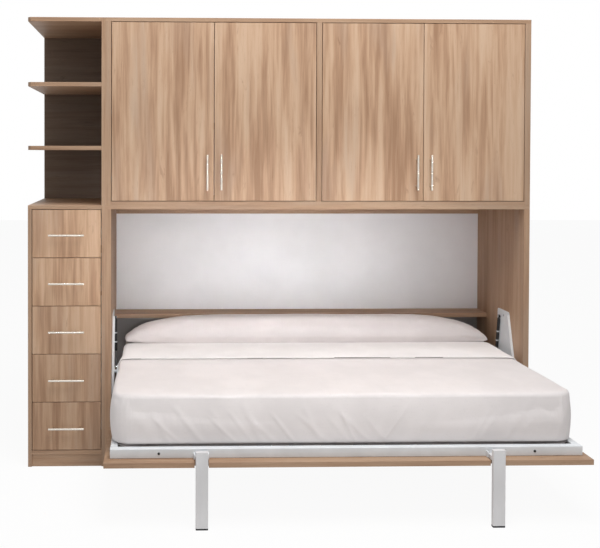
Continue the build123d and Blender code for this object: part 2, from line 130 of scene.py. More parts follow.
class Recipe:
    """A material or sky while its nodes are put together."""

    def __init__(self, name: str, sky: bool = False) -> None:
        """Start an empty material or sky.

        Args:
            name: Its name.
            sky: Whether it is a sky.
        """
        self.material = bpy.data.worlds.new(name) if sky else bpy.data.materials.new(name)
        self.material.use_nodes = True
        self.nodes = self.material.node_tree.nodes
        self.links = self.material.node_tree.links
        self.nodes.clear()
        self.place = self.output("ShaderNodeTexCoord", {}, {}, "Object")

    def add(self, kind: str, settings: dict, inputs: dict) -> bpy.types.Node:
        """Add a node of any kind.

        Args:
            kind: The node's type.
            settings: Its settings, which are made first; stops are a ramp's places and colours.
            inputs: Values or numbers for its sockets.

        Returns:
            The node.
        """
        node = self.nodes.new(kind)
        for key, value in settings.items():
            if key == "stops":
                self._set_stops(node, value)
            else:
                setattr(node, key, value)
        for key, value in inputs.items():
            if isinstance(value, Value):
                self.links.new(value.socket, node.inputs[key])
            else:
                node.inputs[key].default_value = value
        return node

    @staticmethod
    def _set_stops(node: bpy.types.Node, stops: list) -> None:
        """Give a ramp its stops.

        Args:
            node: The ramp.
            stops: Pairs of a place and a colour.
        """
        elements = node.color_ramp.elements
        while len(elements) < len(stops):
            elements.new(1.0)
        for element, (position, colour) in zip(elements, stops):
            element.position = position
            element.color = (*colour, 1.0)

    def output(self, kind: str, settings: dict, inputs: dict, name: int | str = 0) -> Value:
        """Add a node and return one of its outputs.

        Args:
            kind: The node's type.
            settings: Its settings.
            inputs: Values or numbers for its sockets.
            name: The output's name or number.

        Returns:
            That output.
        """
        return Value(self, self.add(kind, settings, inputs).outputs[name])

    def mapped(self, scale: tuple = (1.0, 1.0, 1.0), shift: tuple = (0.0, 0.0, 0.0)) -> Value:
        """The object's own coordinates, moved and stretched.

        Args:
            scale: Scale along each axis.
            shift: Shift along each axis.

        Returns:
            The vector.
        """
        return self.output("ShaderNodeMapping", {}, {"Vector": self.place, "Location": shift, "Scale": scale})

    def noise(
        self, at: Value, scale: float, detail: float = 3.0, rough: float = 0.55, twist: float = 0.0
    ) -> Value:
        """Cloudy noise.

        Args:
            at: Where it is read.
            scale: How fine it is.
            detail: Its octaves.
            rough: How strong the fine octaves are.
            twist: How much it is distorted.

        Returns:
            The noise, about 0.5 on average.
        """
        inputs = {"Vector": at, "Scale": scale, "Detail": detail, "Roughness": rough, "Distortion": twist}
        return self.output("ShaderNodeTexNoise", {}, inputs, "Fac")

    def ramp(self, value: Value, stops: list) -> Value:
        """A colour ramp over a value."""
        return self.output("ShaderNodeValToRGB", {"stops": stops}, {"Fac": value}, "Color")

    def mix(self, factor: "Value | float", first: "Value | Colour", second: "Value | Colour") -> Value:
        """Mix two colours.

        Args:
            factor: Share of the second.
            first: The first colour.
            second: The second colour.

        Returns:
            The mixed colour.
        """
        colours = [c if isinstance(c, Value) else (*c, 1.0) for c in (first, second)]
        inputs = {0: factor, 6: colours[0], 7: colours[1]}
        return self.output("ShaderNodeMix", {"data_type": "RGBA"}, inputs, 2)

    def axis(self, number: int) -> Value:
        """One of the object's own coordinates, in metres."""
        return self.output("ShaderNodeSeparateXYZ", {}, {0: self.place}, number)

    def surface(self, inputs: dict, relief: "Value | None" = None, height: float = 0.0) -> bpy.types.Material:
        """Close the material with its surface shader.

        Args:
            inputs: The shader's inputs.
            relief: What the bump follows.
            height: The bump's height in metres.

        Returns:
            The finished material.
        """
        sockets = dict(inputs)
        if relief is not None:
            bump = {"Height": relief, "Distance": height, "Strength": 1.0}
            sockets["Normal"] = self.output("ShaderNodeBump", {}, bump, "Normal")
        shader = self.output("ShaderNodeBsdfPrincipled", {}, sockets)
        self.add("ShaderNodeOutputMaterial", {}, {"Surface": shader})
        return self.material


@dataclass(frozen=True)
class OakFinish:
    """Oak-effect board: pale and greyish streaks, fine grain and short reddish flecks."""

    name: str
    grain: Grain
    seed: float
    shade: float = 1.0
    contrast: float = 1.0

    def _stretched(self, across: float, along: float) -> tuple:
        """A scale that is one number across the grain and another along it."""
        scale = [across] * 3
        scale[self.grain.value] = along
        return tuple(scale)

    def _tone(self, red: int, green: int, blue: int) -> Colour:
        """A colour of this board, darkened by its shade."""
        return dimmed(srgb(red, green, blue), self.shade)

    def build(self) -> bpy.types.Material:
        """Make the material."""
        recipe = Recipe(self.name)
        shift = (self.seed * 3.1, self.seed * 1.7, self.seed * 2.3)
        broad = recipe.noise(recipe.mapped(self._stretched(1.0, 0.09), shift), 13.0, 2.0, 0.5, 0.12)
        streak = recipe.noise(recipe.mapped(self._stretched(1.0, 0.05), shift), 42.0, 3.0, 0.6, 0.25)
        fine = recipe.noise(recipe.mapped(self._stretched(1.0, 0.022), shift), 190.0, 3.0, 0.65, 0.1)
        pores = recipe.noise(recipe.mapped(self._stretched(1.0, 0.035), shift), 420.0, 2.0, 0.6)
        knots = recipe.noise(recipe.mapped(self._stretched(1.0, 0.22), shift), 24.0, 4.0, 0.65, 1.1)
        cloud = recipe.noise(recipe.mapped(self._stretched(1.0, 0.16), shift[::-1]), 8.0, 2.0, 0.5, 0.4)
        bands = (broad - 0.5) * (1.1 * self.contrast) + (streak - 0.5) * (1.2 * self.contrast)
        tone = bands + (fine - 0.5) * 0.4 + 0.52
        stops = [
            (0.2, self._tone(172, 134, 105)),
            (0.38, self._tone(190, 152, 122)),
            (0.52, self._tone(204, 167, 136)),
            (0.66, self._tone(212, 177, 147)),
            (0.86, self._tone(218, 186, 157)),
        ]
        colour = recipe.ramp(tone, stops)
        grey = cloud.above(0.5, 0.68) * (streak.above(0.4, 0.6) * 0.5 + 0.35)
        colour = recipe.mix(grey * 0.5, colour, self._tone(182, 157, 138))
        fleck = knots.above(0.6, 0.72) * streak.above(0.42, 0.62)
        colour = recipe.mix(fleck * 0.55, colour, self._tone(139, 99, 72))
        colour = recipe.mix(pores.above(0.62, 0.75) * 0.35, colour, self._tone(134, 98, 70))
        rough = 0.5 + (fine - 0.5) * 0.18
        relief = fine * 0.6 + pores * 0.4
        inputs = {"Base Color": colour, "Roughness": rough, "Specular IOR Level": 0.35}
        return recipe.surface(inputs, relief, 0.0002)


@dataclass(frozen=True)
class BoardFinish:
    """A plain coloured board with the faint tooth of its paper."""

    name: str
    colour: Colour
    roughness: float = 0.55

    def build(self) -> bpy.types.Material:
        """Make the material."""
        recipe = Recipe(self.name)
        cloud = recipe.noise(recipe.mapped(), 3.0, 3.0)
        tooth = recipe.noise(recipe.mapped(), 900.0, 2.0)
        colour = recipe.mix(cloud.above(0.3, 0.7), dimmed(self.colour, 0.93), self.colour)
        rough = self.roughness + (tooth - 0.5) * 0.12
        return recipe.surface({"Base Color": colour, "Roughness": rough}, tooth, 0.00005)


@dataclass(frozen=True)
class PaintFinish:
    """Powder coat on steel, with its orange peel and a little wear."""

    name: str
    colour: Colour
    roughness: float = 0.38

    def build(self) -> bpy.types.Material:
        """Make the material."""
        recipe = Recipe(self.name)
        peel = recipe.noise(recipe.mapped(), 700.0, 2.0)
        cloud = recipe.noise(recipe.mapped(), 9.0, 3.0)
        colour = recipe.mix(cloud.above(0.3, 0.7), dimmed(self.colour, 0.9), self.colour)
        rough = self.roughness + (cloud - 0.5) * 0.15
        return recipe.surface({"Base Color": colour, "Roughness": rough}, peel, 0.00012)


@dataclass(frozen=True)
class LegFinish:
    """Silver-grey powder coat above a black rubber foot."""

    name: str
    colour: Colour
    foot_height: float

    def build(self) -> bpy.types.Material:
        """Make the material."""
        recipe = Recipe(self.name)
        peel = recipe.noise(recipe.mapped(), 700.0, 2.0)
        cloud = recipe.noise(recipe.mapped((1.0, 1.0, 0.3)), 14.0, 3.0)
        painted = recipe.axis(2).above(self.foot_height - 0.0001, self.foot_height + 0.0001)
        coat = recipe.mix(cloud.above(0.3, 0.7), dimmed(self.colour, 0.9), self.colour)
        colour = recipe.mix(painted, srgb(28, 28, 30), coat)
        rough = 0.7 - painted * 0.32 + (cloud - 0.5) * 0.12
        return recipe.surface({"Base Color": colour, "Roughness": rough}, peel, 0.00012)


@dataclass(frozen=True)
class SteelFinish:
    """Bare steel, brushed along one direction."""

    name: str
    colour: Colour
    grain: Grain
    roughness: float = 0.28

    def build(self) -> bpy.types.Material:
        """Make the material."""
        recipe = Recipe(self.name)
        scale = [1.0] * 3
        scale[self.grain.value] = 0.02
        brush = recipe.noise(recipe.mapped(tuple(scale)), 1800.0, 2.0)
        smear = recipe.noise(recipe.mapped(), 30.0, 3.0)
        colour = recipe.mix(brush, dimmed(self.colour, 0.86), self.colour)
        rough = self.roughness + (brush - 0.5) * 0.16 + (smear - 0.5) * 0.12
        inputs = {"Base Color": colour, "Roughness": rough, "Metallic": 1.0}
        return recipe.surface(inputs, brush, 0.00004)


@dataclass(frozen=True)
class DarkFinish:
    """Black paint, rubber and plastic with a fine tooth; it also gives the painted shade in the rail's bolt
    holes.
    """

    name: str
    colour: Colour
    roughness: float

    def build(self) -> bpy.types.Material:
        """Make the material."""
        recipe = Recipe(self.name)
        tooth = recipe.noise(recipe.mapped(), 1100.0, 2.0)
        dust = recipe.noise(recipe.mapped(), 22.0, 4.0)
        pale = tuple(min(1.0, channel * 1.7 + 0.01) for channel in self.colour)
        colour = recipe.mix(dust.above(0.45, 0.8) * 0.5, self.colour, pale)
        rough = self.roughness + (dust - 0.5) * 0.15
        return recipe.surface({"Base Color": colour, "Roughness": rough}, tooth, 0.00008)


@dataclass(frozen=True)
class ClothFinish:
    """Plain-woven cotton with a soft sheen."""

    name: str
    colour: Colour
    threads: float = 900.0

    def build(self) -> bpy.types.Material:
        """Make the material."""
        recipe = Recipe(self.name)
        plain = recipe.mapped()
        cloud = recipe.noise(plain, 5.0, 3.0)
        slub = recipe.noise(recipe.mapped((1.0, 0.06, 0.5)), 260.0, 2.0)
        cross = recipe.noise(recipe.mapped((0.06, 1.0, 0.5)), 260.0, 2.0)
        weave = recipe.noise(plain, self.threads, 2.0)
        colour = recipe.mix(cloud.above(0.3, 0.7), dimmed(self.colour, 0.93), self.colour)
        threads = (slub * 0.5 + cross * 0.5).above(0.52, 0.72) * 0.4
        colour = recipe.mix(threads, colour, dimmed(self.colour, 0.86))
        relief = weave * 0.5 + slub * 0.25 + cross * 0.25
        inputs = {
            "Base Color": colour,
            "Roughness": 0.86 + (weave - 0.5) * 0.12,
            "Sheen Weight": 0.18,
            "Sheen Roughness": 0.5,
            "Specular IOR Level": 0.2,
        }
        return recipe.surface(inputs, relief, 0.00035)


@dataclass(frozen=True)
class BeechFinish:
    """Clear lacquered beech, with fine short flecks."""

    name: str

    def build(self) -> bpy.types.Material:
        """Make the material."""
        recipe = Recipe(self.name)
        streak = recipe.noise(recipe.mapped((1.0, 0.04, 1.0)), 60.0, 3.0)
        fleck = recipe.noise(recipe.mapped((1.0, 0.15, 1.0)), 500.0, 2.0)
        colour = recipe.mix(streak.above(0.3, 0.7), srgb(196, 160, 118), srgb(219, 188, 148))
        colour = recipe.mix(fleck.above(0.6, 0.75) * 0.4, colour, srgb(160, 120, 84))
        return recipe.surface({"Base Color": colour, "Roughness": 0.4 + (fleck - 0.5) * 0.1}, streak, 0.0001)


def dress(node: str, material: bpy.types.Material) -> None:
    """Give a node of the frame its finish.

    Args:
        node: The node's name.
        material: The finish.
    """
    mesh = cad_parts[node].data
    mesh.materials.clear()
    mesh.materials.append(material)


def placed(
    name: str, mesh: bmesh.types.BMesh, material: bpy.types.Material, body: str
) -> bpy.types.Object:
    """Turn a mesh under construction into a piece that rides on a body.

    Args:
        name: The piece's name.
        mesh: The mesh, which is used up.
        material: Its finish.
        body: The body that carries it.

    Returns:
        The piece.
    """
    bmesh.ops.remove_doubles(mesh, verts=mesh.verts, dist=1e-6)
    bmesh.ops.recalc_face_normals(mesh, faces=mesh.faces)
    data = bpy.data.meshes.new(name)
    mesh.to_mesh(data)
    mesh.free()
    data.materials.append(material)
    for polygon in data.polygons:
        polygon.use_smooth = True
    piece = bpy.data.objects.new(name, data)
    bpy.context.scene.collection.objects.link(piece)
    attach(piece, body)
    return piece


def rounded(mesh: bmesh.types.BMesh, radius: float, edges: list | None = None, steps: int = 2) -> None:
    """Round edges of a mesh under construction.

    Args:
        mesh: The mesh.
        radius: How far the rounding reaches.
        edges: The edges; all the sharp ones if none are given.
        steps: How many strips the rounding has.
    """
    if edges is None:
        edges = [edge for edge in mesh.edges if edge.calc_face_angle(0.0) > 1.0]
    bmesh.ops.bevel(
        mesh, geom=edges, offset=radius, segments=steps, profile=0.5, affect="EDGES", material=-1
    )


def add_disc(
    mesh: bmesh.types.BMesh, place: Matrix, radius: float, height: float, sides: int, taper: float = 1.0
) -> None:
    """Add a flat round disc to a mesh under construction.

    Args:
        mesh: The mesh.
        place: The disc's place and turn.
        radius: Its radius.
        height: Its height.
        sides: How many flat sides make its round.
        taper: Its far radius as a share of the near one.
    """
    sizes = {"radius1": radius, "radius2": radius * taper, "depth": height}
    bmesh.ops.create_cone(mesh, cap_ends=True, segments=sides, matrix=place, **sizes)


def applied(piece: bpy.types.Object) -> None:
    """Turn a piece's modifiers into its own mesh."""
    graph = bpy.context.evaluated_depsgraph_get()
    data = bpy.data.meshes.new_from_object(piece.evaluated_get(graph))
    old = piece.data
    piece.modifiers.clear()
    piece.data = data
    data.name = old.name
    for polygon in data.polygons:
        polygon.use_smooth = True
    bpy.data.meshes.remove(old)


@dataclass
class Cabinetry:
    """Finishes of all the boards: the bed cabinet, the cupboards and the end unit."""

    upright_boards: tuple = (
        "cabinet_side_left", "cabinet_side_right", "overhead_uprights", "end_unit_side", "drawer_unit_side",
    )
    level_boards: tuple = (
        "cabinet_top", "rear_tie_rail", "headboard_shelf", "floor_tie",
        "overhead_top", "overhead_bottom", "overhead_shelves",
        "drawer_unit_top", "drawer_unit_bottom", "drawer_unit_plinth", "end_shelves", "face_panel",
    )
    edge_shade: float = 0.7
    edge_contrast: float = 0.6
    doors: int = 4
    drawers: int = 5

    def dress_boards(self) -> None:
        """Give each fixed board and the face panel its oak finish, and the end unit's back an oak darkened
        with painted shade.
        """
        for grain, seed, nodes in ((Grain.Z, 11.0, self.upright_boards), (Grain.X, 31.0, self.level_boards)):
            for number, node in enumerate(nodes):
                finish = OakFinish(f"oak_{node}", grain, seed + number, self.edge_shade, self.edge_contrast)
                dress(node, finish.build())
        # The end unit's back is oak at 0.24 of its brightness: painted shade for the shadow inside the open
        # end unit.
        dress("end_unit_back", OakFinish("oak_end_unit_back", Grain.X, 51.0, 0.24, 0.8).build())
        log.info("dressed the boards")

    def dress_fronts(self) -> None:
        """Give each door and drawer front its own piece of the pattern; the drawer fronts get painted shade
        that darkens them towards the floor.
        """
        for number in range(1, self.doors + 1):
            finish = OakFinish(f"oak_door_{number}", Grain.Z, 1.0 + 1.37 * number, 0.84, 1.15)
            dress(f"door_{number}", finish.build())
        for number in range(1, self.drawers + 1):
            # Each lower drawer front is 0.05 darker: painted shade for the light that falls off towards the
            # floor.
            finish = OakFinish(f"oak_drawer_{number}", Grain.Z, 7.5 + 0.61 * number, 1.04 - 0.05 * number)
            dress(f"drawer_{number}_front", finish.build())
        log.info("dressed the doors and drawer fronts")

    def dress_plain_boards(self) -> None:
        """Give the back panels and drawer boxes their plain finishes; the lower back panel is white board
        painted grey as shade.
        """
        white = BoardFinish("white_board", srgb(246, 247, 251)).build()
        # The grey is painted shade: the lower back panel is white board like the niche back panel, darkened
        # for the shadow below the shelf.
        grey = BoardFinish("grey_board", srgb(150, 147, 146)).build()
        for node in ("niche_back_panel", "overhead_back"):
            dress(node, white)
        dress("lower_back_panel", grey)
        box_board = BoardFinish("drawer_box_board", srgb(205, 203, 200)).build()
        for number in range(1, self.drawers + 1):
            dress(f"drawer_{number}_box", box_board)
        log.info("dressed the plain boards")

    def dress_fittings(self) -> None:
        """Give handles, hinges and runners their steel."""
        upright = SteelFinish("handle_steel_upright", srgb(214, 208, 198), Grain.Z).build()
        level = SteelFinish("handle_steel_level", srgb(214, 208, 198), Grain.X).build()
        zinc = SteelFinish("zinc_steel", srgb(176, 178, 180), Grain.Y, 0.4).build()
        for number in range(1, self.doors + 1):
            dress(f"door_{number}_fittings", upright)
        for number in range(1, self.drawers + 1):
            dress(f"drawer_{number}_fittings", level)
        dress("hinge_plates", zinc)
        dress("drawer_runners", zinc)
        log.info("dressed the fittings")


@dataclass
class BedFrame:
    """The steel frame with its slats, lift mechanism and legs."""

    paint: Colour = srgb(232, 235, 238)
    foot_height: float = 0.007
    hole_offset: float = 0.775
    hole_radius: float = 0.0058
    hole_disc_taper: float = 0.86
    hole_disc_depth: float = 0.003
    rail_lead: float = 0.0295
    slat_count: int = 14
    slat_width: float = 0.055
    holder_lap: float = 0.006
    holder_length: float = 0.032
    holder_height: float = 0.0125
    holder_inset: float = 0.0165
    holder_rise: float = 0.0054
    holder_edge: float = 0.0022
    strut_eye: float = 0.016
    strut_run: tuple = (0.04, -0.265)
    band_places: tuple = (0.081, 0.13)
    band_radius: float = 0.0075
    band_height: float = 0.007
    band_edge: float = 0.0006
    bracket_plate: float = 0.003
    screw_places: tuple = ((0.2, 0.1), (0.85, 0.1), (0.62, 0.93), (0.87, 0.88))
    screw_radius: float = 0.0052
    screw_height: float = 0.0022
    screw_edge: float = 0.0009

    def dress_steel(self) -> None:
        """Give the frame, the brackets, the struts and the legs their finishes."""
        paint = PaintFinish("frame_paint", self.paint).build()
        for node in ("bed_frame", "bed_arms", "lift_bracket_left", "lift_bracket_right"):
            dress(node, paint)
        leg = LegFinish("leg_paint", srgb(226, 225, 226), self.foot_height).build()
        black = DarkFinish("strut_paint", srgb(26, 26, 28), 0.35).build()
        rod = SteelFinish("rod_steel", srgb(205, 206, 208), Grain.Z, 0.12).build()
        for side in ("left", "right"):
            dress(f"leg_{side}", leg)
            dress(f"strut_{side}_cylinder", black)
            dress(f"strut_{side}_rod", rod)
        dress("slats", BeechFinish("slat_beech").build())
        log.info("dressed the steel")

    def make_hole_shade_discs(self) -> None:
        """Set a flat black disc into each of the two bolt holes in the front rail, as painted shade for the
        dark inside of each hole.
        """
        low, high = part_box("bed_frame")
        panel_low, panel_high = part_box("face_panel")
        # The black disc is painted shade: it stands for the dark inside of each bolt hole.
        rubber = DarkFinish("painted_hole_shade", srgb(18, 18, 20), 0.6).build()
        middle = (panel_low.x + panel_high.x) / 2
        mesh = bmesh.new()
        rail_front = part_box("mattress")[0].y - self.rail_lead
        for side in (-1, 1):
            hole = (middle + side * self.hole_offset, rail_front, (low.z + high.z) / 2)
            place = Matrix.Translation(hole) @ Matrix.Rotation(math.pi / 2, 4, "X")
            add_disc(mesh, place, self.hole_radius, self.hole_disc_depth, 28, self.hole_disc_taper)
        placed("rail_hole_shade_discs", mesh, rubber, "bed")
        log.info("made the plugs")

    def make_slat_holders(self) -> None:
        """Put a black rubber holder over both ends of every slat."""
        low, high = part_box("slats")
        rubber = DarkFinish("holder_rubber", srgb(30, 30, 32), 0.65).build()
        pitch = (high.x - low.x - self.slat_width) / (self.slat_count - 1)
        mesh = bmesh.new()
        for number in range(self.slat_count):
            x = low.x + self.slat_width / 2 + pitch * number
            for y in (low.y + self.holder_inset, high.y - self.holder_inset):
                made = bmesh.ops.create_cube(mesh, size=1.0)["verts"]
                size = (self.slat_width + self.holder_lap, self.holder_length, self.holder_height)
                bmesh.ops.scale(mesh, vec=size, verts=made)
                bmesh.ops.translate(mesh, vec=(x, y, low.z + self.holder_rise), verts=made)
        rounded(mesh, self.holder_edge)
        placed("slat_holders", mesh, rubber, "bed")
        log.info("made the slat holders")

    def make_strut_bands(self) -> None:
        """Clamp two pale steel bands round each gas strut's cylinder."""
        steel = PaintFinish("band_paint", srgb(206, 208, 211)).build()
        for side in ("left", "right"):
            low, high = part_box(f"strut_{side}_cylinder")
            x = (low.x + high.x) / 2
            top = Vector((x, low.y + self.strut_eye / 2, high.z - self.strut_eye / 2))
            run = Vector((0.0, self.strut_run[0], self.strut_run[1])).normalized()
            turn = run.to_track_quat("Z", "Y").to_matrix().to_4x4()
            mesh = bmesh.new()
            for share in self.band_places:
                place = Matrix.Translation(top + run * share) @ turn
                add_disc(mesh, place, self.band_radius, self.band_height, 40)
            rounded(mesh, self.band_edge)
            placed(f"strut_bands_{side}", mesh, steel, f"{side}_strut")
        log.info("made the strut bands")

    def make_bracket_screws(self) -> None:
        """Fix each lift bracket to its side board with four pan-head screws."""
        steel = SteelFinish("screw_steel", srgb(190, 191, 193), Grain.Z, 0.35).build()
        for side, inward in (("left", 1.0), ("right", -1.0)):
            low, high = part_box(f"lift_bracket_{side}")
            face = (low.x if inward > 0 else high.x) + inward * (self.bracket_plate + self.screw_height / 2)
            mesh = bmesh.new()
            for y_share, z_share in self.screw_places:
                y = low.y + (high.y - low.y) * y_share
                z = low.z + (high.z - low.z) * z_share
                place = Matrix.Translation((face, y, z)) @ Matrix.Rotation(math.pi / 2, 4, "Y")
                add_disc(mesh, place, self.screw_radius, self.screw_height, 24)
            rounded(mesh, self.screw_edge)
            placed(f"bracket_screws_{side}", mesh, steel, "cabinet")
        log.info("made the bracket screws")


def inflate(piece: bpy.types.Object, pressure: float, frames: int, caps: tuple) -> None:
    """Blow a closed piece up with the cloth solver, and keep each point near where it began.

    Args:
        piece: The piece.
        pressure: Pressure inside it.
        frames: How many frames the solver runs.
        caps: The most that a point may move along each axis.
    """
    stiffness = 12.0
    start = [vertex.co.copy() for vertex in piece.data.vertices]
    cloth = piece.modifiers.new("filling", "CLOTH")
    settings = cloth.settings
    settings.quality = 4
    settings.mass = 0.3
    settings.use_pressure = True
    settings.uniform_pressure_force = pressure
    settings.tension_stiffness = stiffness
    settings.compression_stiffness = stiffness
    settings.bending_stiffness = 0.15
    settings.effector_weights.gravity = 0.0
    cloth.point_cache.frame_start = 1
    cloth.point_cache.frame_end = frames
    scene = bpy.context.scene
    for number in range(1, frames + 1):
        scene.frame_set(number)
        bpy.context.view_layer.update()
    graph = bpy.context.evaluated_depsgraph_get()
    ends = [vertex.co.copy() for vertex in piece.evaluated_get(graph).data.vertices]
    piece.modifiers.remove(cloth)
    for vertex, first, last in zip(piece.data.vertices, start, ends):
        move = last - first
        share = max(abs(move[axis]) / caps[axis] for axis in range(3))
        vertex.co = first + move / max(1.0, share)
    scene.frame_set(1)


def softened(piece: bpy.types.Object) -> None:
    """Give a piece one level of subdivision and apply it."""
    smooth = piece.modifiers.new("soft", "SUBSURF")
    smooth.levels = 1
    smooth.render_levels = 1
    applied(piece)


def step(value: float, low: float, high: float) -> float:
    """A soft step from 0 to 1 between two numbers."""
    share = min(1.0, max(0.0, (value - low) / (high - low)))
    return share * share * (3.0 - 2.0 * share)


def cut_evenly(mesh: bmesh.types.BMesh, axis: int, size: float, front_only: bool = False) -> None:
    """Cut a mesh into strips along one axis.

    Args:
        mesh: The mesh.
        axis: The axis that the cuts are square to.
        size: The width of a strip.
        front_only: Whether only the faces towards the room are cut.
    """
    reach = [vertex.co[axis] for vertex in mesh.verts]
    count = int((max(reach) - min(reach)) / size)
    normal = Vector((0.0, 0.0, 0.0))
    normal[axis] = 1.0
    for number in range(1, count + 1):
        place = Vector((0.0, 0.0, 0.0))
        place[axis] = min(reach) + (max(reach) - min(reach)) * number / (count + 1)
        faces = [face for face in mesh.faces if not front_only or face.normal.y < -0.7]
        edges = dict.fromkeys(edge for face in faces for edge in face.edges)
        verts = dict.fromkeys(vertex for face in faces for vertex in face.verts)
        cut = [*verts, *edges, *faces]
        bmesh.ops.bisect_plane(mesh, geom=cut, dist=1e-5, plane_co=place, plane_no=normal)


@dataclass
class Mattress:
    """The mattress in its fitted sheet, swollen by a cloth simulation, with creases along its front side."""

    corner: float = 0.075
    top_edge: float = 0.014
    foot_edge: float = 0.009
    foot_rise: float = 0.0065
    cover: float = 0.0105
    well_inset: float = 0.036
    grid: float = 0.026
    front_grid: float = 0.01313
    bulge: float = 0.02
    bulge_end: float = -0.1
    draw_in: float = 0.014
    pressure: float = 2.2
    frames: int = 16
    caps: tuple = (0.008, 0.008, 0.003)
    creases: int = 30

    def build(self) -> bpy.types.Object:
        """Make the mattress.

        Returns:
            The piece.
        """
        cloth = ClothFinish("sheet_cotton", srgb(238, 232, 231)).build()
        low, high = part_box("mattress")
        low = Vector((low.x - self.cover, low.y, low.z + self.foot_rise))
        high = Vector((high.x + self.cover, high.y, high.z))
        piece = placed("mattress_in_sheet", self._blank(low, high), cloth, "bed")
        inflate(piece, self.pressure, self.frames, self.caps)
        self._shape(piece, low, high)
        softened(piece)
        self._crease(piece, low, high)
        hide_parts("mattress")
        log.info("made %s with %d faces", piece.name, len(piece.data.polygons))
        return piece

    def _blank(self, low: Vector, high: Vector) -> bmesh.types.BMesh:
        """A block with rounded corners, cut into an even net that is finer in front.

        Args:
            low: Its lowest corner.
            high: Its highest corner.

        Returns:
            The mesh.
        """
        mesh = bmesh.new()
        bmesh.ops.create_cube(mesh, size=1.0)
        bmesh.ops.scale(mesh, vec=high - low, verts=mesh.verts)
        bmesh.ops.translate(mesh, vec=(low + high) / 2, verts=mesh.verts)
        upright = [edge for edge in mesh.edges if abs(edge.verts[0].co.z - edge.verts[1].co.z) > 0.1]
        rounded(mesh, self.corner, upright, 7)
        for height, offset in ((high.z, self.top_edge), (low.z, self.foot_edge)):
            rim = [edge for edge in mesh.edges if all(abs(v.co.z - height) < 1e-5 for v in edge.verts)]
            rounded(mesh, offset, rim, 3)
        under = [face for face in mesh.faces if face.normal.z < -0.9]
        bmesh.ops.inset_region(mesh, faces=under, thickness=self.well_inset)
        bmesh.ops.translate(
            mesh, vec=(0.0, 0.0, -self.foot_rise * 0.8), verts=list({v for face in under for v in face.verts})
        )
        for axis in (0, 1, 2):
            cut_evenly(mesh, axis, self.grid)
        for axis in (0, 2):
            cut_evenly(mesh, axis, self.front_grid, True)
        return mesh

    def _shape(self, piece: bpy.types.Object, low: Vector, high: Vector) -> None:
        """Let the sheet swell past the frame in front, draw it in beside the struts and round the top off.

        Args:
            piece: The mattress.
            low: Its lowest corner.
            high: Its highest corner.
        """
        middle = (low + high) / 2
        half = (high - low) / 2
        for vertex in piece.data.vertices:
            place = vertex.co
            share = min(1.0, max(0.0, (place.z - low.z) / (high.z - low.z)))
            belly = math.sin(math.pi * min(1.0, share * 1.05)) ** 0.7 if 0.0 < share < 0.95 else 0.0
            away = (place.x - middle.x) / half.x
            side = step(abs(away), 0.9, 1.0)
            front = 1.0 - step(place.y, self.bulge_end - 0.12, self.bulge_end)
            reach = self.bulge if away < 0 else self.bulge * 0.45
            place.x += math.copysign(reach * front * side * (0.35 + 0.65 * belly), away)
            if away < 0:
                place.x += self.draw_in * side * step(place.y, 0.02, 0.14)
            nearer = step((middle.y - place.y) / half.y, 0.93, 1.0)
            place.y -= 0.004 * nearer * belly
            if share > 0.85:
                crown = (1.0 - abs(away) ** 8) * (1.0 - abs((place.y - middle.y) / half.y) ** 6)
                place.z -= (1.0 - crown) * 0.003

    def _crease(self, piece: bpy.types.Object, low: Vector, high: Vector) -> None:
        """Raise slanting creases on the front side and a slow unevenness all over.

        Args:
            piece: The mattress.
            low: Its lowest corner.
            high: Its highest corner.
        """
        span = high.x - low.x
        creases = []
        for number in range(self.creases):
            share = (number + 0.5 + 0.4 * math.sin(number * 5.3)) / self.creases
            lean = (0.75 + 0.3 * math.sin(number * 2.1)) * (1.0 if share < 0.52 else -0.7)
            height = (0.0011 + 0.0019 * abs(math.sin(number * 3.7))) * (1.0 if share < 0.55 else 0.7)
            width = 0.009 + 0.009 * abs(math.cos(number * 1.9))
            begin = 0.15 + 0.35 * abs(math.sin(number * 4.3))
            creases.append((low.x + span * share, lean, height, width, begin))
        normals = [vertex.normal.copy() for vertex in piece.data.vertices]
        for vertex, normal in zip(piece.data.vertices, normals):
            place = vertex.co
            depth = (high.z - place.z) / (high.z - low.z)
            if normal.y < -0.4 and 0.0 < depth < 1.0:
                amount = 0.0
                for start, lean, height, width, begin in creases:
                    off = (place.x - start - lean * (high.z - place.z)) / width
                    if abs(off) < 3.0:
                        fade = step(depth, begin - 0.15, begin + 0.15) * (1.0 - step(depth, 0.86, 1.0))
                        amount += height * math.exp(-off * off) * fade
                place.y -= amount
            slow = noise.noise(Vector((place.x * 2.3, place.y * 2.9, place.z * 4.0)))
            fine = noise.noise(Vector((place.x * 9.0 + 7.0, place.y * 6.0, place.z * 9.0)))
            if depth < 0.97:
                place += normal * (0.0016 * slow + 0.0006 * fine - 0.0006)


